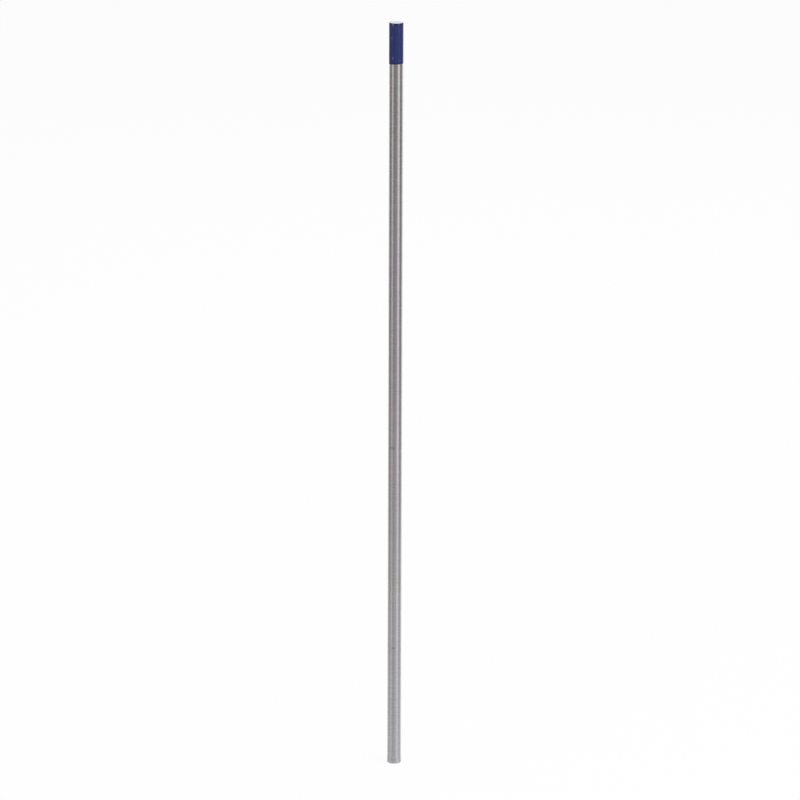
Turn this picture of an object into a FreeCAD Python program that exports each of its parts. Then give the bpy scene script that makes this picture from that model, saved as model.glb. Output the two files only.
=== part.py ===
import FreeCAD, Part

import math
import os

# Welding electrode for the TIG process: one ground tungsten rod, square cut at
# both ends, with a thin coat of blue paint at one end that tells the grade.
#
# Frame: millimetres, +Z along the rod's axis towards the painted end. The origin
# is the centre of the bare working end's flat face. The painted end is up in use
# as in the hand, and the working end is the one that is ground to a point later.

# The rod: a standard 3.2 mm electrode, centreless ground to size all along.
ROD_DIAMETER = 3.2
ROD_LENGTH = 175.0
WORKING_END_CHAMFER = 0.15
PAINTED_END_ROUND = 0.15

# The colour code: one coat of paint, dipped on and cured.
COAT_LENGTH = 9.4
COAT_THICKNESS = 0.03
COAT_EDGE_ROUND = 0.02
DIP_LINE_TILT_DEG = 2.5

# What follows from those sizes.
rod_radius = ROD_DIAMETER / 2.0
coat_radius = rod_radius + COAT_THICKNESS
dip_line_z = ROD_LENGTH - COAT_LENGTH

AXIS_POINT = FreeCAD.Vector(0, 0, 0)
AXIS_DIRECTION = FreeCAD.Vector(0, 0, 1)


def at(radius, z):
    """Give the point of the section plane at this radius and height."""
    return FreeCAD.Vector(radius, 0, z)


def revolved(edges):
    """Turn a closed section about the rod's axis into one solid."""
    section = Part.Face(Part.Wire(edges))
    return section.revolve(AXIS_POINT, AXIS_DIRECTION, 360)


def round_point(grow, angle):
    """Give a point of the painted end's round, pushed out by grow, at this angle.

    The angle is 0 where the round leaves the rod's side and a right angle where
    it meets the end face. The round's centre is the same for every value of grow,
    so the coat's skin stays parallel to the metal under it.
    """
    reach = PAINTED_END_ROUND + grow
    return at(
        rod_radius - PAINTED_END_ROUND + reach * math.cos(angle),
        ROD_LENGTH - PAINTED_END_ROUND + reach * math.sin(angle),
    )


def tungsten_rod():
    """Build the rod: flat working face, chamfer, ground side, round, flat top."""
    face_centre = at(0, 0)
    face_rim = at(rod_radius - WORKING_END_CHAMFER, 0)
    side_low = at(rod_radius, WORKING_END_CHAMFER)
    side_high = round_point(0, 0)
    round_middle = round_point(0, math.pi / 4)
    top_rim = round_point(0, math.pi / 2)
    top_centre = at(0, ROD_LENGTH)
    return revolved(
        [
            Part.makeLine(face_centre, face_rim),
            Part.makeLine(face_rim, side_low),
            Part.makeLine(side_low, side_high),
            Part.Arc(side_high, round_middle, top_rim).toShape(),
            Part.makeLine(top_rim, top_centre),
            Part.makeLine(top_centre, face_centre),
        ]
    )


def colour_band():
    """Build the coat: a sleeve on the rod's side that wraps its end round.

    The skin is parallel to the metal and stops where it comes level with the end
    face, which stays bare. The lower edge is the line that the paint stood at
    when the end was dipped, so it is a plane a little out of square.
    """
    run_out = 2 * coat_radius * (1 + math.tan(math.radians(DIP_LINE_TILT_DEG)))
    sleeve_low = dip_line_z - run_out
    stop = math.asin(PAINTED_END_ROUND / (PAINTED_END_ROUND + COAT_THICKNESS))
    skin_low = at(coat_radius, sleeve_low)
    skin_high = round_point(COAT_THICKNESS, 0)
    skin_stop = round_point(COAT_THICKNESS, stop)
    metal_stop = round_point(0, stop)
    metal_high = round_point(0, 0)
    metal_low = at(rod_radius, sleeve_low)
    sleeve = revolved(
        [
            Part.makeLine(skin_low, skin_high),
            Part.Arc(
                skin_high, round_point(COAT_THICKNESS, stop / 2), skin_stop
            ).toShape(),
            Part.makeLine(skin_stop, metal_stop),
            Part.Arc(metal_stop, round_point(0, stop / 2), metal_high).toShape(),
            Part.makeLine(metal_high, metal_low),
            Part.makeLine(metal_low, skin_low),
        ]
    )

    # Everything below the dip line's plane is bare metal.
    half = 2 * coat_radius
    below = Part.makeBox(
        2 * half, 2 * half, 2 * run_out, FreeCAD.Vector(-half, -half, -2 * run_out)
    )
    below.rotate(AXIS_POINT, FreeCAD.Vector(0, 1, 0), -DIP_LINE_TILT_DEG)
    below.translate(FreeCAD.Vector(0, 0, dip_line_z))
    coat = sleeve.cut(below)

    # Surface tension rounds the wet edge of the paint.
    edge_round = min(COAT_EDGE_ROUND, 0.8 * COAT_THICKNESS)
    outer_rim = max(
        (e for e in coat.Edges if e.BoundBox.ZMax < dip_line_z + coat_radius / 2),
        key=lambda e: e.BoundBox.XLength,
    )
    return coat.makeFillet(edge_round, [outer_rim]).Solids[0]


def main():
    """Write each piece to its own STEP file."""
    os.makedirs("parts", exist_ok=True)
    pieces = {"tungsten_rod": tungsten_rod(), "colour_band": colour_band()}
    for name, shape in pieces.items():
        if shape.ShapeType != "Solid" or not shape.isValid():
            raise ValueError(name + " is not one valid solid")
        shape.exportStep("parts/" + name + ".step")
        print(name, round(shape.Volume, 4), "mm3", shape.BoundBox)


main()
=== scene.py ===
"""Looks of a TIG tungsten electrode: a ground rod with a dipped blue band at one end.

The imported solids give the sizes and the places. This script models both pieces again,
finely enough to be seen close up, gives each its finish, and sets up a pale floor, soft
lamps, grey studio cards and the camera. Lengths are in metres, +Z runs along the rod
towards the painted end, and the camera looks along +Y.
"""

from __future__ import annotations

import logging
import math
from dataclasses import dataclass, field
from enum import Enum
from typing import Callable

import bmesh
import bpy
from mathutils import Matrix, Vector


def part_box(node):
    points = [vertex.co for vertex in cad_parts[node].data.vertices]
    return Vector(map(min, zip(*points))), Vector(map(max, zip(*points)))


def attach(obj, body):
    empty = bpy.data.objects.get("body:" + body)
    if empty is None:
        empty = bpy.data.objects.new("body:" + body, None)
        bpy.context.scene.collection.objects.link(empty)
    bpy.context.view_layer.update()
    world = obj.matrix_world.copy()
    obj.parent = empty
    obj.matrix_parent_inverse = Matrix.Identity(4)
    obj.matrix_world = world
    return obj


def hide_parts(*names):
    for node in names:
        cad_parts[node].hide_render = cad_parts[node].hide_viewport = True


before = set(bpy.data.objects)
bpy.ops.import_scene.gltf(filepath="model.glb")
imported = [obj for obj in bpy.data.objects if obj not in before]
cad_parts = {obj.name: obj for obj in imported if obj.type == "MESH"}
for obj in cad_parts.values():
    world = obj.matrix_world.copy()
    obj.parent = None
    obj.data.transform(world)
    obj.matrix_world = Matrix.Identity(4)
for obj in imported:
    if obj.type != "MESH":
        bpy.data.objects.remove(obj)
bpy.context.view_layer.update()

MM = 0.001

# Corners closer than this are welded, and a corner this near to a height lies at it.
WELD = 0.0005 * MM
NEAR = 0.001 * MM

# Azimuths closer than this count as one.
SLACK_DEG = 0.01

# Sockets that share their name with another one of their node, by number.
MAP_LOW, MAP_HIGH, MAP_START, MAP_END = 1, 2, 3, 4
MIX_SHARE, MIX_FIRST, MIX_SECOND, MIX_RESULT = 0, 6, 7, 2

# Where a soft step on a noise begins and ends. A noise keeps mostly within WIDE.
WIDE = (0.20, 0.80)
EVEN = (0.25, 0.75)
MIDDLE = (0.30, 0.70)
BELOW = (0.35, 0.60)
ABOVE = (0.45, 0.75)

Socket = bpy.types.NodeSocket
Value = float | bpy.types.NodeSocket
Colour = tuple[float, float, float]

log = logging.getLogger("electrode")


class Axis(Enum):
    """The axes that an operator or a modifier works along here, by their letter."""

    DEPTH = "Y"
    ALONG = "Z"


class Zone(Enum):
    """The rod's two finishes, by the number of their material."""

    SIDE = 0
    END = 1


def clear_selection() -> None:
    """Leave edit mode and deselect every object."""
    if bpy.context.object and bpy.context.object.mode != "OBJECT":
        bpy.ops.object.mode_set(mode="OBJECT")
    bpy.ops.object.select_all(action="DESELECT")


def take(piece: bpy.types.Object) -> None:
    """Make one object the only selected and the active one.

    Args:
        piece: The object to work on next.
    """
    clear_selection()
    piece.select_set(True)
    bpy.context.view_layer.objects.active = piece


def from_view(vector: Vector) -> float:
    """Give a point's azimuth in degrees, 0 towards the camera and positive to its right.

    Args:
        vector: A point in the row's frame.

    Returns:
        The azimuth, from -180 to 180.
    """
    return math.degrees(math.atan2(vector.x, -vector.y))


class Turning:
    """Shapes one turned piece ring by ring, as on a lathe, with edit-mode operators."""

    def __init__(self, name: str, sides: int) -> None:
        """Start with no rings.

        Args:
            name: The name of the piece.
            sides: How many vertices each ring has.
        """
        self.name = name
        self.sides = sides
        self.radius = 0.0
        self.height = 0.0

    def start(self, radius: float, height: float, filled: bool) -> None:
        """Add the first ring and stay in edit mode with it selected.

        Args:
            radius: The ring's radius.
            height: The ring's height.
            filled: Whether the ring carries a face.
        """
        clear_selection()
        bpy.ops.mesh.primitive_circle_add(
            vertices=self.sides,
            radius=radius,
            fill_type="NGON" if filled else "NOTHING",
            enter_editmode=True,
        )
        bpy.context.object.name = self.name
        bpy.context.object.data.name = self.name
        bpy.ops.mesh.select_mode(type="FACE" if filled else "EDGE")
        bpy.ops.mesh.select_all(action="SELECT")
        bpy.ops.transform.translate(value=(0, 0, height))
        self.radius, self.height = radius, height

    def ring(self, radius: float, height: float) -> None:
        """Extrude the selected ring to the next station of the section.

        Args:
            radius: The new ring's radius.
            height: The new ring's height.
        """
        bpy.ops.mesh.extrude_region_move(
            TRANSFORM_OT_translate={"value": (0, 0, height - self.height)}
        )
        scale = radius / self.radius
        bpy.ops.transform.resize(value=(scale, scale, 1), center_override=(0, 0, height))
        self.radius, self.height = radius, height

    def select(self, wanted: Callable[[Vector], bool], mode: str = "VERT") -> None:
        """Select the vertices, edges or faces whose every corner passes a test.

        Args:
            wanted: Tells of a corner's place whether it counts.
            mode: VERT, EDGE or FACE.
        """
        bpy.ops.mesh.select_mode(type=mode)
        bpy.ops.mesh.select_all(action="DESELECT")
        shape = bmesh.from_edit_mesh(bpy.context.object.data)
        parts = {"VERT": shape.verts, "EDGE": shape.edges, "FACE": shape.faces}[mode]
        for part in parts:
            corners = [part] if mode == "VERT" else part.verts
            part.select = all(wanted(corner.co) for corner in corners)
        shape.select_flush_mode()
        bmesh.update_edit_mesh(bpy.context.object.data)

    def finish(self, smooth_deg: float) -> bpy.types.Object:
        """Close edit mode, point the faces outwards and smooth the shading.

        Args:
            smooth_deg: Edges that turn less than this are shaded smooth.

        Returns:
            The finished piece, at the origin.
        """
        bpy.ops.mesh.select_all(action="SELECT")
        bpy.ops.mesh.remove_doubles(threshold=WELD)
        bpy.ops.mesh.normals_make_consistent(inside=False)
        bpy.ops.object.mode_set(mode="OBJECT")
        piece = bpy.context.object
        take(piece)
        bpy.ops.object.shade_smooth_by_angle(angle=math.radians(smooth_deg))
        return piece


class Recipe:
    """Lays out the nodes of one material or world, with short names for common steps.

    Attributes:
        RAGGED_REACH: How far a noise moves a spot's edge, as a share of its reach.
        SPOT_EDGE: Where that edge begins and ends, as shares of the spot's reach.
    """

    RAGGED_REACH: float = 1.4
    SPOT_EDGE: tuple[float, float] = (0.35, 0.95)

    def __init__(self, owner: bpy.types.Material | bpy.types.World) -> None:
        """Empty the owner's node tree and give it an output.

        Args:
            owner: The material or the world.
        """
        self.owner = owner
        owner.use_nodes = True
        self.tree = owner.node_tree
        self.tree.nodes.clear()
        kind = "World" if isinstance(owner, bpy.types.World) else "Material"
        self.output = self.tree.nodes.new("ShaderNodeOutput" + kind)
        self.place = self.add("ShaderNodeTexCoord").outputs["Object"]

    @classmethod
    def for_material(cls, name: str) -> Recipe:
        """Start the recipe of a new material.

        Args:
            name: The material's name.

        Returns:
            The recipe.
        """
        return cls(bpy.data.materials.new(name))

    def add(self, kind: str, inputs: dict | None = None, **settings: object) -> bpy.types.Node:
        """Add a node, set its properties, and fill or link its inputs.

        Args:
            kind: The node's type name.
            inputs: Socket name or number to a value or an output socket.
            **settings: Properties of the node.

        Returns:
            The new node.
        """
        node = self.tree.nodes.new(kind)
        for key, value in settings.items():
            setattr(node, key, value)
        for key, value in (inputs or {}).items():
            if isinstance(value, Socket):
                self.tree.links.new(value, node.inputs[key])
            else:
                node.inputs[key].default_value = value
        return node

    def maths(self, operation: str, *values: Value) -> Socket:
        """Give the result of a Math node on one to three values."""
        node = self.add("ShaderNodeMath", dict(enumerate(values)), operation=operation)
        return node.outputs[0]

    def split(self, vector: Socket) -> tuple[Socket, ...]:
        """Give the three parts of a vector."""
        return tuple(self.add("ShaderNodeSeparateXYZ", {0: vector}).outputs)

    def join(self, x: Value, y: Value, z: Value) -> Socket:
        """Give a vector made of three values."""
        return self.add("ShaderNodeCombineXYZ", {0: x, 1: y, 2: z}).outputs[0]

    def scaled(self, vector: Socket, by: tuple[float, ...]) -> Socket:
        """Give a vector with each part multiplied by its own number."""
        node = self.add(
            "ShaderNodeVectorMath", {0: vector, 1: by}, operation="MULTIPLY"
        )
        return node.outputs[0]

    def noise(self, pattern: Pattern) -> Socket:
        """Give a noise value, about 0.5 in the mean, on the piece's own coordinates.

        Args:
            pattern: How fine, how drawn out and how broken the noise is.

        Returns:
            The output socket.
        """
        node = self.add(
            "ShaderNodeTexNoise",
            {
                "Vector": self.scaled(self.place, pattern.stretch),
                "Scale": pattern.scale,
                "Detail": pattern.detail,
                "Roughness": pattern.rough,
            },
        )
        return node.outputs[0]

    def step(
        self, value: Socket, low: float, high: float, start: Value = 0.0, end: Value = 1.0
    ) -> Socket:
        """Give a soft step: start below low, end above high.

        Args:
            value: The value to map.
            low: Where the step begins.
            high: Where the step ends.
            start: The result below low.
            end: The result above high.

        Returns:
            The output socket.
        """
        node = self.add(
            "ShaderNodeMapRange",
            {
                "Value": value,
                MAP_LOW: low,
                MAP_HIGH: high,
                MAP_START: start,
                MAP_END: end,
            },
            interpolation_type="SMOOTHSTEP",
        )
        return node.outputs[0]

    def tint(
        self, share: Socket, first: Colour | Socket, second: Colour | Socket
    ) -> Socket:
        """Give a colour between two, by a share."""
        node = self.add(
            "ShaderNodeMix",
            {
                MIX_SHARE: share,
                MIX_FIRST: as_colour(first),
                MIX_SECOND: as_colour(second),
            },
            data_type="RGBA",
        )
        return node.outputs[MIX_RESULT]

    def levelled(self, colour: Colour | Socket, level: Socket) -> Socket:
        """Give a colour made paler or darker by a factor."""
        node = self.add(
            "ShaderNodeVectorMath", {0: colour, "Scale": level}, operation="SCALE"
        )
        return node.outputs[0]

    def ramp(self, value: Socket, stops: tuple[tuple[float, Colour], ...]) -> Socket:
        """Give the colour that a row of stops has at this value.

        Args:
            value: The value to look up.
            stops: Pairs of a value and a colour, from low to high.

        Returns:
            The colour's socket.
        """
        low, high = stops[0][0], stops[-1][0]
        share = self.add("ShaderNodeMapRange", {"Value": value, MAP_LOW: low, MAP_HIGH: high})
        node = self.add("ShaderNodeValToRGB", {0: share.outputs[0]})
        elements = node.color_ramp.elements
        for number, (place, colour) in enumerate(stops):
            position = (place - low) / (high - low)
            if 0 < number < len(stops) - 1:
                element = elements.new(position)
            else:
                element = elements[0 if number == 0 else -1]
                element.position = position
            element.color = as_colour(colour)
        return node.outputs["Color"]

    def total(self, *values: Value) -> Socket:
        """Give the sum of several values.

        Args:
            *values: The numbers and sockets to add.

        Returns:
            The output socket.
        """
        result = values[0]
        for value in values[1:]:
            result = self.maths("ADD", result, value)
        return result

    def spot(
        self, centre: tuple[float, ...], reach: tuple[float, ...], ragged: Socket
    ) -> Socket:
        """Give a spot on the surface with an uneven edge: 1 within, 0 outside.

        Args:
            centre: The spot's centre.
            reach: Its half-size along X, Y and Z.
            ragged: A noise that makes the edge uneven.

        Returns:
            The output socket.
        """
        offset = self.add(
            "ShaderNodeVectorMath", {0: self.place, 1: centre}, operation="SUBTRACT"
        ).outputs[0]
        unit = self.scaled(offset, tuple(1 / r for r in reach))
        length = self.add(
            "ShaderNodeVectorMath", {0: unit}, operation="LENGTH"
        ).outputs["Value"]
        uneven = self.maths(
            "MULTIPLY_ADD", ragged, self.RAGGED_REACH, -0.5 * self.RAGGED_REACH
        )
        return self.step(self.maths("ADD", length, uneven), *self.SPOT_EDGE, 1.0, 0.0)

    def close(self, surface: bpy.types.Node) -> bpy.types.Material | bpy.types.World:
        """Link the surface shader to the output and give the material or the world."""
        self.tree.links.new(surface.outputs[0], self.output.inputs["Surface"])
        return self.owner


def as_colour(value: Colour | Socket) -> tuple[float, ...] | Socket:
    """Give a colour with its alpha added, or a socket as it is."""
    return (*value, 1.0) if isinstance(value, tuple) else value


@dataclass(frozen=True)
class Pattern:
    """A noise on a surface, such as rubs, streaks or fine lines.

    Attributes:
        scale: How fine it is, in waves a metre.
        stretch: What X, Y and Z are multiplied by; a small number draws it out.
        detail: How many finer waves lie on it.
        rough: How strong each finer wave is against the one before.
    """

    scale: float
    stretch: tuple[float, float, float] = (1.0, 1.0, 1.0)
    detail: float = 3.0
    rough: float = 0.6


MARK_EDGE = Pattern(4200.0, rough=0.65)


@dataclass(frozen=True)
class Mark:
    """One small mark on the side, as handling, grinding or dipping left it.

    Attributes:
        across: Place across the camera's view, as a share of the radius.
        height: Place along the rod.
        reach: Half-size round the rod and along it.
        change: How much paler it is than what is round it; below 0 it is darker.
    """

    across: float
    height: float
    reach: tuple[float, float]
    change: float

    def centre(self, radius: float) -> tuple[float, float, float]:
        """Give the mark's centre on the side that faces the camera."""
        depth = -radius * math.sqrt(1 - self.across**2)
        return (self.across * radius, depth, self.height)

    def change_at(self, recipe: Recipe, radius: float, ragged: Socket) -> Socket:
        """Give the mark's change of level at each point of the surface.

        Args:
            recipe: The material's recipe.
            radius: The radius of the side it lies on.
            ragged: A noise that makes its edge uneven.

        Returns:
            The output socket.
        """
        round_it, along = self.reach
        spot = recipe.spot(self.centre(radius), (round_it, round_it, along), ragged)
        return recipe.maths("MULTIPLY", spot, self.change)


def handled(recipe: Recipe, marks: tuple[Mark, ...], radius: float) -> Socket:
    """Give what all the marks together change at each point of the surface.

    Args:
        recipe: The material's recipe.
        marks: The marks.
        radius: The radius of the side they lie on.

    Returns:
        The output socket.
    """
    ragged = recipe.noise(MARK_EDGE)
    return recipe.total(*(mark.change_at(recipe, radius, ragged) for mark in marks))


@dataclass(frozen=True)
class GroundTungsten:
    """Centreless-ground tungsten: grey, with fine lines round the rod.

    The lines draw the shine out along the rod and leave it narrow across. Handling
    leaves faint lengthwise rubs, a film with a little tint and a few smudges.

    Attributes:
        shades: The metal's colour at some heights.
        roughness: How rough the side is.
        roughness_spread: How far below and above that it goes in patches.
        anisotropy: How much more the shine spreads along the rod than across.
        turn: Turns that spread from round the rod to along it.
        rub: How much darker a lengthwise rub is.
        rub_range: The part of their noise over which the rubs fade in.
        drift: How much the level drifts along the rod.
        grain: How much the grinding lines differ from each other.
        line_bump: How strongly the grinding lines turn the shine.
        line_depth: How deep they are.
        rubs: The pattern of the lengthwise rubs.
        patches: The pattern of the film that handling leaves.
        slow: The pattern of the drift along the rod.
        lines: The pattern of the grinding lines.
        stain: Height, half-width and tint of the faint stained stretch.
        stain_dark: How much darker that stretch is.
        stain_least: The stain's share between the film's patches.
        mark_roughness: How much rougher a mark is, for its change of level.
        marks: The smudges, specks and nicks.
    """

    name: str = "ground tungsten"
    shades: tuple[tuple[float, Colour], ...] = (
        (0.0, (0.583, 0.578, 0.594)),
        (40.0 * MM, (0.592, 0.575, 0.590)),
        (70.0 * MM, (0.594, 0.564, 0.583)),
        (120.0 * MM, (0.594, 0.560, 0.584)),
        (150.0 * MM, (0.600, 0.575, 0.580)),
        (175.0 * MM, (0.609, 0.575, 0.564)),
    )
    roughness: float = 0.27
    roughness_spread: tuple[float, float] = (0.02, 0.03)
    anisotropy: float = 0.85
    turn: float = 0.25
    rub: float = 0.10
    rub_range: tuple[float, float] = (0.30, 0.75)
    drift: float = 0.05
    grain: float = 0.14
    line_bump: float = 0.12
    line_depth: float = 0.004 * MM
    rubs: Pattern = Pattern(1400.0, (1.0, 1.0, 0.012))
    patches: Pattern = Pattern(260.0, (1.0, 1.0, 0.25), rough=0.55)
    slow: Pattern = Pattern(38.0, (0.0, 0.0, 1.0), detail=2.0, rough=0.5)
    lines: Pattern = Pattern(5200.0, (0.08, 0.08, 1.0), detail=2.0)
    stain: tuple[float, float, Colour] = (43.8 * MM, 3.6 * MM, (0.590, 0.566, 0.548))
    stain_dark: float = 0.03
    stain_least: float = 0.3
    mark_roughness: float = 0.25
    marks: tuple[Mark, ...] = (
        Mark(-0.44, 75.95 * MM, (1.00 * MM, 0.70 * MM), -0.22),
        Mark(-0.20, 75.95 * MM, (0.38 * MM, 0.36 * MM), -0.14),
        Mark(-0.42, 75.2 * MM, (0.20 * MM, 0.20 * MM), 0.10),
        Mark(-0.02, 75.3 * MM, (0.22 * MM, 0.22 * MM), 0.12),
        Mark(0.18, 75.0 * MM, (0.24 * MM, 0.30 * MM), 0.10),
        Mark(0.74, 75.6 * MM, (0.30 * MM, 0.26 * MM), -0.18),
        Mark(0.74, 75.1 * MM, (0.32 * MM, 0.26 * MM), 0.34),
        Mark(-0.60, 70.3 * MM, (0.22 * MM, 0.28 * MM), 0.26),
        Mark(-0.46, 138.3 * MM, (0.22 * MM, 0.30 * MM), 0.24),
        Mark(-0.14, 28.05 * MM, (0.62 * MM, 0.38 * MM), -0.20),
        Mark(-0.40, 27.7 * MM, (0.44 * MM, 0.30 * MM), -0.14),
        Mark(0.30, 14.3 * MM, (0.24 * MM, 0.30 * MM), 0.14),
    )

    def build(self, radius: float) -> bpy.types.Material:
        """Lay out the material.

        Args:
            radius: The rod's radius.

        Returns:
            The finished material.
        """
        r = Recipe.for_material(self.name)
        z = r.split(r.place)[2]
        rubs = r.noise(self.rubs)
        patches = r.noise(self.patches)
        slow = r.noise(self.slow)
        lines = r.noise(self.lines)

        height, reach, tint = self.stain
        off = r.maths("ABSOLUTE", r.maths("SUBTRACT", z, height))
        stained = r.maths(
            "MULTIPLY",
            r.step(off, 0.0, reach, 1.0, 0.0),
            r.step(patches, *BELOW, self.stain_least, 1.0),
        )
        shade = r.tint(stained, r.ramp(z, self.shades), tint)
        marked = handled(r, self.marks, radius)

        # Each pattern lightens the metal where its noise is low and darkens it where
        # the noise is high, so that the mean stays near the shade.
        level = r.total(
            1.0,
            marked,
            r.maths("MULTIPLY", stained, -self.stain_dark),
            r.step(rubs, *self.rub_range, 0.4 * self.rub, -0.6 * self.rub),
            r.step(slow, *MIDDLE, 0.5 * self.drift, -0.5 * self.drift),
            r.step(lines, *EVEN, 0.5 * self.grain, -0.5 * self.grain),
        )
        less, more = self.roughness_spread
        rough = r.total(
            r.step(patches, *WIDE, self.roughness - less, self.roughness + more),
            r.maths("MULTIPLY", r.maths("ABSOLUTE", marked), self.mark_roughness),
        )
        bump = r.add(
            "ShaderNodeBump",
            {"Strength": self.line_bump, "Distance": self.line_depth, "Height": lines},
        )
        return r.close(
            r.add(
                "ShaderNodeBsdfPrincipled",
                {
                    "Base Color": r.levelled(shade, level),
                    "Metallic": 1.0,
                    "Roughness": rough,
                    "Anisotropic": self.anisotropy,
                    "Anisotropic Rotation": self.turn,
                    "Normal": bump.outputs[0],
                },
            )
        )


@dataclass(frozen=True)
class CutTungsten:
    """The square-cut ends: clean metal with the cut-off wheel's fine arcs, paler and bluer
    than the side, with the pale surroundings' reflection painted into its colour.

    Attributes:
        colour: The metal's colour, with a painted reflection of the pale surroundings.
        groove: How much darker a groove is.
        roughness: How rough the cut is.
        wheel_offset: How far to the left the arcs have their centre.
        groove_pitch: From one groove to the next.
        wobble: The pattern that makes the arcs uneven.
        waver: How far it moves them, in radians of the groove's wave.
        crest: The part of that wave over which a groove deepens.
        fade_range: The part of the wobble over which the grooves fade in.
        fade: A groove's share of its depth where it is faded.
        bump: How strongly the grooves turn the shine.
        depth: How deep they are.
    """

    name: str = "cut tungsten"
    # Paler and bluer than the side's tungsten: clean cut metal, with a painted reflection of
    # the pale surroundings.
    colour: Colour = (0.80, 0.80, 0.88)
    groove: float = 0.16
    roughness: float = 0.45
    wheel_offset: float = 40.0 * MM
    groove_pitch: float = 0.055 * MM
    wobble: Pattern = Pattern(2600.0)
    waver: float = 9.0
    crest: tuple[float, float] = (-0.6, 0.9)
    fade_range: tuple[float, float] = (0.30, 0.65)
    fade: float = 0.35
    bump: float = 0.3
    depth: float = 0.006 * MM

    def build(self) -> bpy.types.Material:
        """Lay out the material.

        Returns:
            The finished material.
        """
        r = Recipe.for_material(self.name)
        x, y, _ = r.split(r.place)
        away = r.maths("ADD", x, self.wheel_offset)
        squares = r.total(r.maths("MULTIPLY", away, away), r.maths("MULTIPLY", y, y))
        arc = r.maths("SQRT", squares)
        wobble = r.noise(self.wobble)
        phase = r.total(
            r.maths("MULTIPLY", arc, 2 * math.pi / self.groove_pitch),
            r.maths("MULTIPLY", wobble, self.waver),
        )
        groove = r.step(r.maths("SINE", phase), *self.crest)
        faded = r.step(wobble, *self.fade_range, self.fade, 1.0)
        groove = r.maths("MULTIPLY", groove, faded)
        level = r.total(1.0, r.maths("MULTIPLY", groove, -self.groove))
        bump = r.add(
            "ShaderNodeBump",
            {"Strength": self.bump, "Distance": self.depth, "Height": groove},
            invert=True,
        )
        return r.close(
            r.add(
                "ShaderNodeBsdfPrincipled",
                {
                    "Base Color": r.levelled(self.colour, level),
                    "Metallic": 1.0,
                    "Roughness": self.roughness,
                    "Normal": bump.outputs[0],
                },
            )
        )


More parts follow.
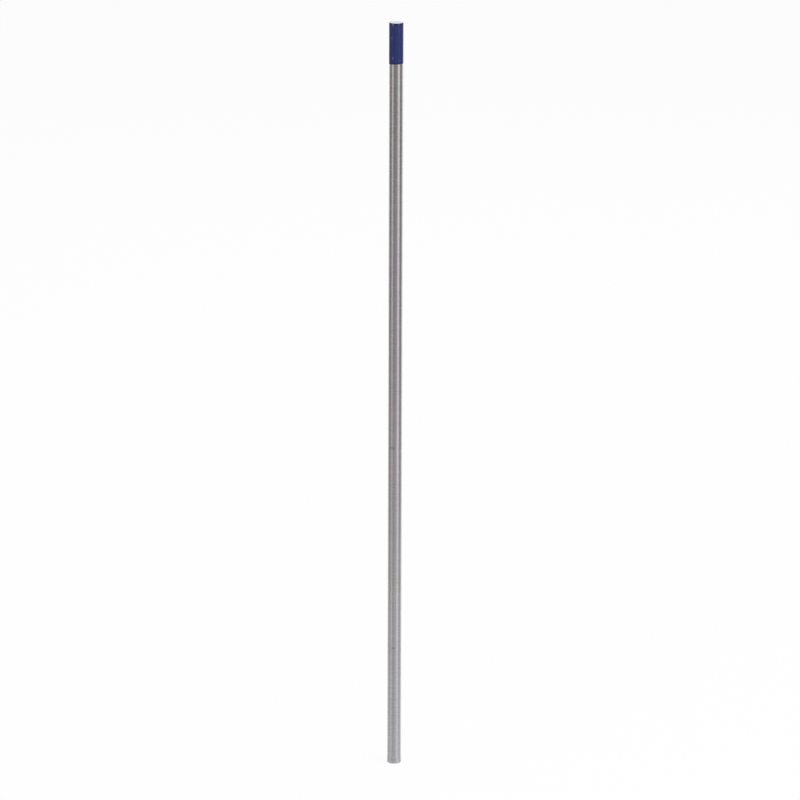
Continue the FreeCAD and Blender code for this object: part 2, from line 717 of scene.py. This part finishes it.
@dataclass(frozen=True)
class BluePaint:
    """Cured blue dip paint: satin, a little streaky, deeper where the coat collects at the dip
    line, with painted shadow under the wet edge and painted shade over the end's round.

    Attributes:
        colour: The paint's colour.
        deep_and_shaded_colour: Its colour where the coat is thicker, also the painted shade
            under the bead and over the end's round.
        worn_and_highlight_colour: Its colour where the coat is thin or rubbed, and of two
            painted highlights at the top.
        roughness: How rough its skin is.
        roughness_spread: How far below and above that it goes.
        ior: The index of its skin's gloss.
        shadowed_pool_reach: How far the thicker coat and its painted shadow reach from the dip
            line.
        shadowed_pool_core: The share of that reach over which the coat is thickest and the
            painted shadow darkest.
        shadowed_pool_depth: How near its colour there comes to the deep, shaded one.
        shaded_rim_reach: How far the painted shade on the end's round reaches down from the
            end face.
        shaded_rim_core: The share of that reach over which the painted shade is darkest.
        shaded_rim_least: The painted shade's share on the rim where the mottle breaks it up.
        streak: How much a streak of the dip differs from the next.
        mottled: How much darker the mottle is.
        streaks: The pattern of the dip's streaks.
        mottle: The pattern of the mottle.
        bump: How strongly the mottle turns the shine.
        depth: How deep it is.
        marks: The streaks, flecks and thin places, and two painted highlights at the top.
    """

    name: str = "blue dip paint"
    colour: Colour = (0.0065, 0.0140, 0.118)
    deep_and_shaded_colour: Colour = (0.003, 0.003, 0.034)
    worn_and_highlight_colour: Colour = (0.160, 0.180, 0.340)
    roughness: float = 0.45
    roughness_spread: tuple[float, float] = (0.05, 0.08)
    ior: float = 1.52
    shadowed_pool_reach: float = 0.42 * MM
    shadowed_pool_core: float = 0.4
    shadowed_pool_depth: float = 0.70
    shaded_rim_reach: float = 0.40 * MM
    shaded_rim_core: float = 0.55
    shaded_rim_least: float = 0.55
    streak: float = 0.16
    mottled: float = 0.08
    streaks: Pattern = Pattern(1900.0, (1.0, 1.0, 0.03))
    mottle: Pattern = Pattern(900.0, (1.0, 1.0, 0.6))
    bump: float = 0.25
    depth: float = 0.006 * MM
    marks: tuple[Mark, ...] = (
        Mark(-0.80, 170.5 * MM, (0.34 * MM, 6.5 * MM), -0.24),
        Mark(-0.30, 170.5 * MM, (0.22 * MM, 6.5 * MM), -0.16),
        Mark(-0.06, 169.0 * MM, (0.30 * MM, 6.5 * MM), 0.05),
        Mark(0.17, 170.5 * MM, (0.18 * MM, 6.0 * MM), -0.14),
        Mark(0.42, 173.4 * MM, (0.34 * MM, 0.70 * MM), 0.08),
        # These two pale marks at the top, left and right, are painted highlights where the
        # end's round catches the light.
        Mark(-0.46, 174.7 * MM, (0.40 * MM, 0.50 * MM), 0.42),
        Mark(0.37, 174.85 * MM, (0.32 * MM, 0.30 * MM), 0.30),
        Mark(0.05, 174.0 * MM, (0.35 * MM, 0.60 * MM), 0.08),
        Mark(-0.60, 171.6 * MM, (0.26 * MM, 0.44 * MM), 0.24),
        Mark(-0.46, 167.0 * MM, (0.34 * MM, 0.50 * MM), 0.34),
        Mark(0.42, 166.4 * MM, (0.30 * MM, 0.40 * MM), 0.07),
    )

    def build(
        self, radius: float, top: float, dip: float, tilt_deg: float
    ) -> bpy.types.Material:
        """Lay out the material.

        Args:
            radius: The coat's outer radius.
            top: The height of the end face.
            dip: The mean height of the dip line.
            tilt_deg: How far the dip line is out of square.

        Returns:
            The finished material.
        """
        r = Recipe.for_material(self.name)
        x, _, z = r.split(r.place)
        streaks = r.noise(self.streaks)
        mottle = r.noise(self.mottle)
        marked = handled(r, self.marks, radius)
        level = r.total(
            1.0,
            r.maths("MINIMUM", marked, 0.0),
            r.step(streaks, *MIDDLE, -0.5 * self.streak, 0.5 * self.streak),
            r.step(mottle, *ABOVE, 0.0, -self.mottled),
        )
        lean = r.maths("MULTIPLY", x, math.tan(math.radians(tilt_deg)))
        lip = r.maths("SUBTRACT", r.maths("SUBTRACT", z, dip), lean)
        # Darker just above the dip line: the coat collects in its bead, and the shadow under
        # the bead is painted in.
        core = self.shadowed_pool_core * self.shadowed_pool_reach
        pooled_and_shadowed = r.step(lip, core, self.shadowed_pool_reach, self.shadowed_pool_depth, 0.0)
        uneven = r.step(mottle, *BELOW, self.shaded_rim_least, 1.0)
        # Painted shade: the coat is darkened over the end's round, up to the end face.
        rim = r.step(z, top - self.shaded_rim_reach, top - self.shaded_rim_core * self.shaded_rim_reach)
        # A mask of the collected coat with the painted shadow under its bead, and of the
        # painted shade on the end's round.
        thick_and_shaded = r.maths("MAXIMUM", pooled_and_shadowed, r.maths("MULTIPLY", rim, uneven))
        # Paler marks turn towards the paler paint colour: thin, rubbed places, and the two
        # painted highlights.
        worn_and_highlit = r.maths("MAXIMUM", marked, 0.0)
        colour = r.tint(thick_and_shaded, r.levelled(self.colour, level), self.deep_and_shaded_colour)
        colour = r.tint(worn_and_highlit, colour, self.worn_and_highlight_colour)
        less, more = self.roughness_spread
        rough = r.step(mottle, *WIDE, self.roughness - less, self.roughness + more)
        bump = r.add(
            "ShaderNodeBump",
            {"Strength": self.bump, "Distance": self.depth, "Height": mottle},
        )
        return r.close(
            r.add(
                "ShaderNodeBsdfPrincipled",
                {
                    "Base Color": colour,
                    "Roughness": rough,
                    "IOR": self.ior,
                    "Normal": bump.outputs[0],
                },
            )
        )


@dataclass
class Rod:
    """The tungsten rod: square cut, chamfered at the working end, broken at the top.

    Attributes:
        radius: Half of the ground diameter.
        length: From face to face.
        chamfer: The working end's chamfer, across and along.
        top_round: The radius that breaks the painted end's edge.
        softening: How much the chamfer's own edges are eased.
        ease_steps: Faces across each eased edge.
        face_dish: How deep a whole share of the dish in a cut face is.
        dish_shares: The shares in which a cut face's rings go in and sink.
        dish_reach: How far in a whole share goes, as a share of the radius.
        end_normal: A face whose normal stands at least this much along Z is an end's.
        sides: Vertices in each ring.
        round_steps: Rings over the painted end's round.
        side_steps: Rings along the side.
        smooth_deg: Edges that turn less than this are shaded smooth.
    """

    node: str = "tungsten_rod"
    slot: str = "ground_tungsten"
    body: str = "root"
    radius: float = 1.6 * MM
    length: float = 175.0 * MM
    chamfer: float = 0.15 * MM
    top_round: float = 0.15 * MM
    softening: float = 0.03 * MM
    ease_steps: int = 3
    face_dish: float = 0.006 * MM
    dish_shares: tuple[float, ...] = (0.18, 0.30, 0.45)
    dish_reach: float = 0.6
    end_normal: float = 0.98
    sides: int = 128
    round_steps: int = 6
    side_steps: int = 24
    smooth_deg: float = 24.0
    finish: GroundTungsten = field(default_factory=GroundTungsten)
    cut: CutTungsten = field(default_factory=CutTungsten)

    def build(self) -> bpy.types.Object:
        """Model the rod.

        Returns:
            The piece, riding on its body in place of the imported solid.
        """
        turning = Turning("ground_rod", self.sides)
        turning.start(self.radius - self.chamfer, 0.0, filled=True)
        turning.ring(self.radius, self.chamfer)
        straight = self.length - self.top_round - self.chamfer
        for step in range(1, self.side_steps + 1):
            turning.ring(self.radius, self.chamfer + straight * step / self.side_steps)
        for step in range(1, self.round_steps + 1):
            angle = 0.5 * math.pi * step / self.round_steps
            turning.ring(
                self.radius - self.top_round * (1 - math.cos(angle)),
                self.length - self.top_round * (1 - math.sin(angle)),
            )
        self.ease_chamfer(turning)
        self.face_ends(turning)
        piece = turning.finish(self.smooth_deg)
        self.dress(piece)
        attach(piece, self.body)
        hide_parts(self.node)
        return piece

    def ease_chamfer(self, turning: Turning) -> None:
        """Ease the two edges of the working end's chamfer.

        Args:
            turning: The piece in edit mode.
        """
        rim = self.radius - self.chamfer
        for height in (0.0, self.chamfer):
            turning.select(
                lambda co, h=height: abs(co.z - h) < NEAR and co.xy.length > rim - NEAR,
                mode="EDGE",
            )
            bpy.ops.mesh.bevel(
                offset=self.softening,
                offset_type="OFFSET",
                segments=self.ease_steps,
                affect="EDGES",
            )

    def face_ends(self, turning: Turning) -> None:
        """Give both cut faces inner rings and the shallow dish that a cut leaves.

        Args:
            turning: The piece in edit mode.
        """
        for height, inwards in ((0.0, 1.0), (self.length, -1.0)):
            turning.select(lambda co, h=height: abs(co.z - h) < NEAR, mode="FACE")
            for share in self.dish_shares:
                bpy.ops.mesh.inset(thickness=share * self.radius * self.dish_reach)
                bpy.ops.transform.translate(
                    value=(0, 0, inwards * self.face_dish * share)
                )

    def dress(self, piece: bpy.types.Object) -> None:
        """Give the side its ground finish and the end faces their cut finish.

        Args:
            piece: The rod.
        """
        piece.data.materials.append(self.finish.build(self.radius))
        piece.data.materials.append(self.cut.build())
        for face in piece.data.polygons:
            zone = Zone.END if abs(face.normal.z) > self.end_normal else Zone.SIDE
            face.material_index = zone.value


@dataclass
class Band:
    """The colour band: a thin coat that wraps the end's round, with a wet-edge lip.

    Attributes:
        radius: The coat's outer radius at the lip's bead.
        metal: The rod's radius under it.
        top: The height of the end face.
        dip: The mean height of the dip line.
        top_round: The radius of the metal's round under the coat.
        tilt_deg: How far the dip line is out of square, lower to the left.
        bead: The wet edge's section: places out and up, in coat thicknesses.
        settle: Where the bead has half and wholly settled, in coat thicknesses up.
        thinning: How much thinner the coat is above its bead.
        seat: How far the inner wall is sunk in the metal, so no light passes.
        ripple: How uneven the dip line is.
        ripple_reach: How far up from the dip line the ripple fades out.
        ripple_length: How long its waves are.
        sides: Vertices in each ring.
        side_steps: Rings along the side.
        round_steps: Rings over the end's round.
        smooth_deg: Edges that turn less than this are shaded smooth.
    """

    node: str = "colour_band"
    slot: str = "blue_paint"
    body: str = "root"
    radius: float = 1.63 * MM
    metal: float = 1.6 * MM
    top: float = 175.0 * MM
    dip: float = 165.6 * MM
    top_round: float = 0.15 * MM
    tilt_deg: float = 2.5
    bead: tuple[tuple[float, float], ...] = (
        (0.0, 0.0),
        (0.62, 0.25),
        (0.92, 0.8),
        (1.0, 2.0),
        (1.0, 4.0),
    )
    settle: tuple[float, float] = (8.0, 14.0)
    thinning: float = 0.006 * MM
    seat: float = 0.006 * MM
    ripple: float = 0.05 * MM
    ripple_reach: float = 0.45 * MM
    ripple_length: float = 1.1 * MM
    sides: int = 128
    side_steps: int = 10
    round_steps: int = 5
    smooth_deg: float = 50.0
    finish: BluePaint = field(default_factory=BluePaint)

    @property
    def wall(self) -> float:
        """Give the coat's thickness at its bead."""
        return self.radius - self.metal

    def skin(self) -> list[tuple[float, float]]:
        """Give the coat's outer section, from the lip up to where it stops.

        Returns:
            Radius and height of each ring.
        """
        half, low = (self.dip + height * self.wall for height in self.settle)
        high = self.top - self.top_round
        rings = [
            (self.metal + out * self.wall, self.dip + up * self.wall)
            for out, up in self.bead
        ]
        rings += [
            (self.radius - 0.5 * self.thinning, half),
            (self.radius - self.thinning, low),
        ]
        rings += [
            (self.radius - self.thinning, low + (high - low) * step / self.side_steps)
            for step in range(1, self.side_steps + 1)
        ]
        coat = self.wall - self.thinning
        stop = math.asin(self.top_round / (self.top_round + coat))
        rings += [
            self.on_round(coat, stop * step / self.round_steps)
            for step in range(1, self.round_steps + 1)
        ]
        return rings

    def on_round(self, grow: float, angle: float) -> tuple[float, float]:
        """Give a point of the end's round, pushed out by grow, at this angle."""
        reach = self.top_round + grow
        return (
            self.metal - self.top_round + reach * math.cos(angle),
            self.top - self.top_round + reach * math.sin(angle),
        )

    def build(self) -> bpy.types.Object:
        """Model the coat.

        Returns:
            The piece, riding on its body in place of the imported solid.
        """
        turning = Turning("blue_band", self.sides)
        rings = self.skin()
        turning.start(*rings[0], filled=False)
        for radius, height in rings[1:]:
            turning.ring(radius, height)
        stop = math.asin(self.top_round / (self.top_round + self.wall))
        for share in (1.0, 0.5, 0.0):
            turning.ring(*self.on_round(-self.seat, stop * share))
        inner = self.metal - self.seat
        turning.ring(inner, self.dip + self.settle[1] * self.wall)
        turning.ring(inner, self.dip + 0.5 * self.seat)
        self.close_lip(turning)
        self.tilt_lip(turning)
        piece = turning.finish(self.smooth_deg)
        self.ripple_lip(piece)
        self.dress(piece)
        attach(piece, self.body)
        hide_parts(self.node)
        return piece

    def close_lip(self, turning: Turning) -> None:
        """Bridge the first ring and the last, under the lip.

        Args:
            turning: The piece in edit mode.
        """
        turning.select(
            lambda co: abs(co.z - self.dip) < self.seat
            and co.xy.length < self.metal + NEAR,
            mode="EDGE",
        )
        bpy.ops.mesh.bridge_edge_loops()

    def tilt_lip(self, turning: Turning) -> None:
        """Turn the rings near the lip out of square about the middle of the dip line.

        The rings from where the bead has wholly settled stay level.

        Args:
            turning: The piece in edit mode.
        """
        reach = (self.settle[0] + 1.0) * self.wall
        turning.select(lambda co: co.z < self.dip + reach)
        bpy.ops.transform.rotate(
            value=math.radians(self.tilt_deg),
            orient_axis=Axis.DEPTH.value,
            center_override=(0, 0, self.dip),
        )

    def ripple_lip(self, piece: bpy.types.Object) -> None:
        """Make the dip line a little uneven, as paint runs.

        Args:
            piece: The coat.
        """
        group = piece.vertex_groups.new(name="wet_edge")
        for vertex in piece.data.vertices:
            line = self.dip + vertex.co.x * math.tan(math.radians(self.tilt_deg))
            share = (vertex.co.z - line) / self.ripple_reach
            weight = 1.0 - min(1.0, max(0.0, share))
            if weight > 0:
                group.add([vertex.index], weight, "REPLACE")
        runs = bpy.data.textures.new("paint_runs", "CLOUDS")
        runs.noise_scale = self.ripple_length
        runs.noise_depth = 1
        take(piece)
        ripple = piece.modifiers.new("ripple", "DISPLACE")
        ripple.direction = Axis.ALONG.value
        ripple.texture = runs
        ripple.texture_coords = "LOCAL"
        ripple.strength = 2 * self.ripple
        ripple.mid_level = 0.5
        ripple.vertex_group = group.name
        bpy.ops.object.modifier_apply(modifier=ripple.name)

    def dress(self, piece: bpy.types.Object) -> None:
        """Give the coat its paint.

        Args:
            piece: The coat.
        """
        paint = self.finish.build(self.radius, self.top, self.dip, self.tilt_deg)
        piece.data.materials.append(paint)


@dataclass(frozen=True)
class Card:
    """A studio card round the object, which only the shine sees.

    Attributes:
        name: What the card is for.
        start: Azimuth of its left edge, in degrees from the camera.
        end: Azimuth of its right edge.
        greys: How bright it is at each of the distances below.
        tint: Its faint colour, which multiplies the greys.
        distances: Distances from the rod's axis, in metres.
        foot: Where it starts over the floor, from the rod's axis.
        wall: Where it stands up.
        height: How high it stands.
        lift: How far it lies over the floor.
        sides: How many edges a full ring of it would have.
    """

    name: str
    start: float
    end: float
    greys: tuple[float, ...]
    tint: Colour = (1.0, 1.0, 1.0)
    distances: tuple[float, ...] = (0.0015, 0.06, 0.19, 0.33, 0.50, 0.79, 0.90)
    foot: float = 1.7 * MM
    wall: float = 900.0 * MM
    height: float = 600.0 * MM
    lift: float = 0.1 * MM
    sides: int = 360

    def build(self) -> bpy.types.Object:
        """Model the card as a bent sheet and hide it from all but the shine.

        Returns:
            The card.
        """
        clear_selection()
        bpy.ops.mesh.primitive_circle_add(
            vertices=self.sides,
            radius=self.foot,
            fill_type="NOTHING",
            enter_editmode=True,
        )
        card = bpy.context.object
        card.name = card.data.name = self.name
        bpy.ops.mesh.select_mode(type="VERT")
        bpy.ops.mesh.select_all(action="DESELECT")
        shape = bmesh.from_edit_mesh(card.data)
        for vertex in shape.verts:
            azimuth = (from_view(vertex.co) - self.start + SLACK_DEG) % 360
            vertex.select = azimuth > self.end - self.start + 2 * SLACK_DEG
        bmesh.update_edit_mesh(card.data)
        bpy.ops.mesh.delete(type="VERT")
        bpy.ops.mesh.select_mode(type="EDGE")
        bpy.ops.mesh.select_all(action="SELECT")
        bpy.ops.transform.translate(value=(0, 0, self.lift))
        bpy.ops.mesh.extrude_region_move()
        spread = self.wall / self.foot
        bpy.ops.transform.resize(value=(spread, spread, 1), center_override=(0, 0, 0))
        bpy.ops.mesh.extrude_region_move(
            TRANSFORM_OT_translate={"value": (0, 0, self.height)}
        )
        bpy.ops.object.mode_set(mode="OBJECT")
        card.data.materials.append(self.finish())
        card.visible_camera = False
        card.visible_diffuse = False
        card.visible_transmission = False
        card.visible_shadow = False
        return card

    def finish(self) -> bpy.types.Material:
        """Lay out the card's glow, graded with the distance from the rod.

        Returns:
            The card's material.
        """
        recipe = Recipe.for_material(self.name)
        x, y, _ = recipe.split(recipe.place)
        away = recipe.add(
            "ShaderNodeVectorMath", {0: recipe.join(x, y, 0.0)}, operation="LENGTH"
        ).outputs["Value"]
        stops = tuple(
            (math.log(distance), tuple(grey * part for part in self.tint))
            for distance, grey in zip(self.distances, self.greys)
        )
        shade = recipe.ramp(recipe.maths("LOGARITHM", away, math.e), stops)
        return recipe.close(recipe.add("ShaderNodeEmission", {"Color": shade}))


@dataclass(frozen=True)
class Lamp:
    """A soft lamp, aimed at the middle of the rod.

    Attributes:
        name: What the lamp is for.
        azimuth: Degrees from the camera, positive to the right.
        elevation: Degrees above the horizon.
        distance: From the middle of the rod.
        size: The width of its square face.
        watts: Its power.
    """

    name: str
    azimuth: float
    elevation: float
    distance: float
    size: float
    watts: float

    def build(self, target: Vector) -> bpy.types.Object:
        """Hang the lamp and aim it.

        Args:
            target: What it is aimed at.

        Returns:
            The lamp.
        """
        data = bpy.data.lights.new(self.name, "AREA")
        data.shape = "SQUARE"
        data.size = self.size
        data.energy = self.watts
        lamp = bpy.data.objects.new(self.name, data)
        bpy.context.scene.collection.objects.link(lamp)
        around, up = math.radians(self.azimuth), math.radians(self.elevation)
        flat = math.cos(up)
        way = Vector((math.sin(around) * flat, -math.cos(around) * flat, math.sin(up)))
        lamp.location = target + way * self.distance
        lamp.rotation_euler = way.to_track_quat("Z", "Y").to_euler()
        lamp.visible_glossy = False
        return lamp


@dataclass
class Studio:
    """The plain studio: pale floor, white surround, soft lamps, cards and camera.

    Attributes:
        floor_radius: The floor's radius.
        floor_sides: How many sides the floor has.
        floor_albedo: How pale the floor is.
        floor_glow: The share of the floor's look that is plain white.
        fill: How strong the surround's even light is.
        cards: The cards, each with what the metal should mirror from its side.
        lamps: The lamps.
        elevation: Degrees that the camera looks down.
        distance: From the camera to what it looks at.
        lens: The camera's focal length, in millimetres.
        sensor: The width of its picture, in millimetres.
        clip: The nearest and the farthest that it sees.
        aim: What it looks at.
        roll_deg: How far it is tipped.
    """

    floor_radius: float = 2.0
    floor_sides: int = 128
    floor_albedo: float = 0.92
    floor_glow: float = 0.92
    fill: float = 0.52
    cards: tuple[Card, ...] = (
        Card(
            "card_front", -42.0, -6.0,
            (0.54, 0.55, 0.55, 0.44, 0.25, 0.16, 0.15),
            tint=(1.02, 1.0, 1.03),
        ),
        Card(
            "card_between", -6.0, 29.0,
            (0.66, 0.68, 0.69, 0.56, 0.36, 0.20, 0.18),
            tint=(1.01, 1.0, 1.03),
        ),
        Card(
            "card_right", 29.0, 66.0,
            (0.88, 0.88, 0.90, 0.86, 0.84, 1.00, 1.00),
            tint=(0.99, 1.0, 1.0),
        ),
        Card(
            "card_right_back", 66.0, 117.0,
            (0.74, 0.71, 0.54, 0.36, 0.30, 0.27, 0.25),
            tint=(0.98, 1.0, 1.0),
        ),
        Card(
            "card_back", 163.0, 193.0,
            (0.70, 0.66, 0.52, 0.42, 0.36, 0.32, 0.30),
            height=30.0 * MM,
        ),
        Card(
            "card_left_back", 235.0, 289.0,
            (0.64, 0.62, 0.49, 0.36, 0.31, 0.27, 0.25),
            tint=(1.0, 1.0, 0.97),
        ),
        Card(
            "card_left", -71.0, -42.0,
            (0.70, 0.70, 0.56, 0.38, 0.38, 0.85, 1.00),
            tint=(1.0, 1.0, 0.97),
        ),
    )
    lamps: tuple[Lamp, ...] = (
        Lamp("lamp_right", 50.0, 38.0, 0.9, 0.7, 5.0),
        Lamp("lamp_left", -58.0, 34.0, 0.9, 0.7, 0.9),
        Lamp("lamp_back", 175.0, 48.0, 0.9, 0.7, 1.8),
    )
    elevation: float = 14.0
    distance: float = 1.344
    lens: float = 263.3
    sensor: float = 36.0
    clip: tuple[float, float] = (0.01, 20.0)
    aim: tuple[float, float, float] = (1.12 * MM, 0.0, 87.02 * MM)
    roll_deg: float = 0.192

    def build(self) -> None:
        """Set up everything round the object."""
        self.make_world()
        self.make_floor()
        for card in self.cards:
            card.build()
        for lamp in self.lamps:
            lamp.build(Vector(self.aim))
        self.make_camera()
        bpy.context.scene.view_settings.view_transform = "Standard"

    @staticmethod
    def seen(recipe: Recipe) -> Socket:
        """Give 1 for rays from the camera, through gloss or through glass, else 0."""
        path = recipe.add("ShaderNodeLightPath").outputs
        kinds = ("Is Camera Ray", "Is Glossy Ray", "Is Transmission Ray")
        return recipe.maths("MINIMUM", 1.0, recipe.total(*(path[kind] for kind in kinds)))

    def make_world(self) -> None:
        """Make the surround white where it is seen, and a plain fill elsewhere."""
        world = bpy.data.worlds.new("surround")
        bpy.context.scene.world = world
        recipe = Recipe(world)
        level = recipe.add(
            "ShaderNodeMapRange",
            {"Value": self.seen(recipe), MAP_START: self.fill, MAP_END: 1.0},
        )
        recipe.close(
            recipe.add(
                "ShaderNodeBackground",
                {"Color": (1.0, 1.0, 1.0, 1.0), "Strength": level.outputs[0]},
            )
        )

    def make_floor(self) -> None:
        """Lay a pale floor that looks white and keeps a part of the shadow."""
        clear_selection()
        bpy.ops.mesh.primitive_circle_add(
            vertices=self.floor_sides, radius=self.floor_radius, fill_type="NGON"
        )
        floor = bpy.context.object
        floor.name = floor.data.name = "floor"
        recipe = Recipe.for_material("pale floor")
        albedo = self.floor_albedo
        lit = recipe.add(
            "ShaderNodeBsdfDiffuse", {"Color": (albedo, albedo, albedo, 1.0)}
        )
        white = recipe.add("ShaderNodeEmission", {"Strength": 1.0})
        share = recipe.maths("MULTIPLY", self.seen(recipe), self.floor_glow)
        mixed = recipe.add(
            "ShaderNodeMixShader", {0: share, 1: lit.outputs[0], 2: white.outputs[0]}
        )
        floor.data.materials.append(recipe.close(mixed))

    def make_camera(self) -> None:
        """Place the camera where the photo was taken from."""
        data = bpy.data.cameras.new("camera")
        data.lens = self.lens
        data.sensor_width = self.sensor
        data.clip_start, data.clip_end = self.clip
        camera = bpy.data.objects.new("camera", data)
        bpy.context.scene.collection.objects.link(camera)
        up = math.radians(self.elevation)
        back = Vector((0.0, -math.cos(up), math.sin(up)))
        camera.location = Vector(self.aim) + back * self.distance
        turn = back.to_track_quat("Z", "Y").to_matrix()
        roll = Matrix.Rotation(math.radians(self.roll_deg), 3, "Z")
        camera.rotation_euler = (turn @ roll).to_euler()
        bpy.context.scene.camera = camera


def report(piece: bpy.types.Object) -> None:
    """Log one piece's size and how many faces it has.

    Args:
        piece: The finished piece.
    """
    size = ", ".join(f"{side / MM:.3f}" for side in piece.dimensions)
    log.info("%s: %s mm, %d faces", piece.name, size, len(piece.data.polygons))


def main() -> None:
    """Build the rod, the band and the studio."""
    logging.basicConfig(level=logging.INFO, format="%(name)s: %(message)s")
    low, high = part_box("tungsten_rod")
    coat_low, coat_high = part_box("colour_band")
    rod = Rod(radius=high.x, length=high.z - low.z)
    report(rod.build())
    lean = coat_high.x * math.tan(math.radians(Band.tilt_deg))
    band = Band(
        radius=coat_high.x, metal=rod.radius, top=coat_high.z, dip=coat_low.z + lean
    )
    report(band.build())
    Studio().build()


if __name__ == "__main__":
    main()
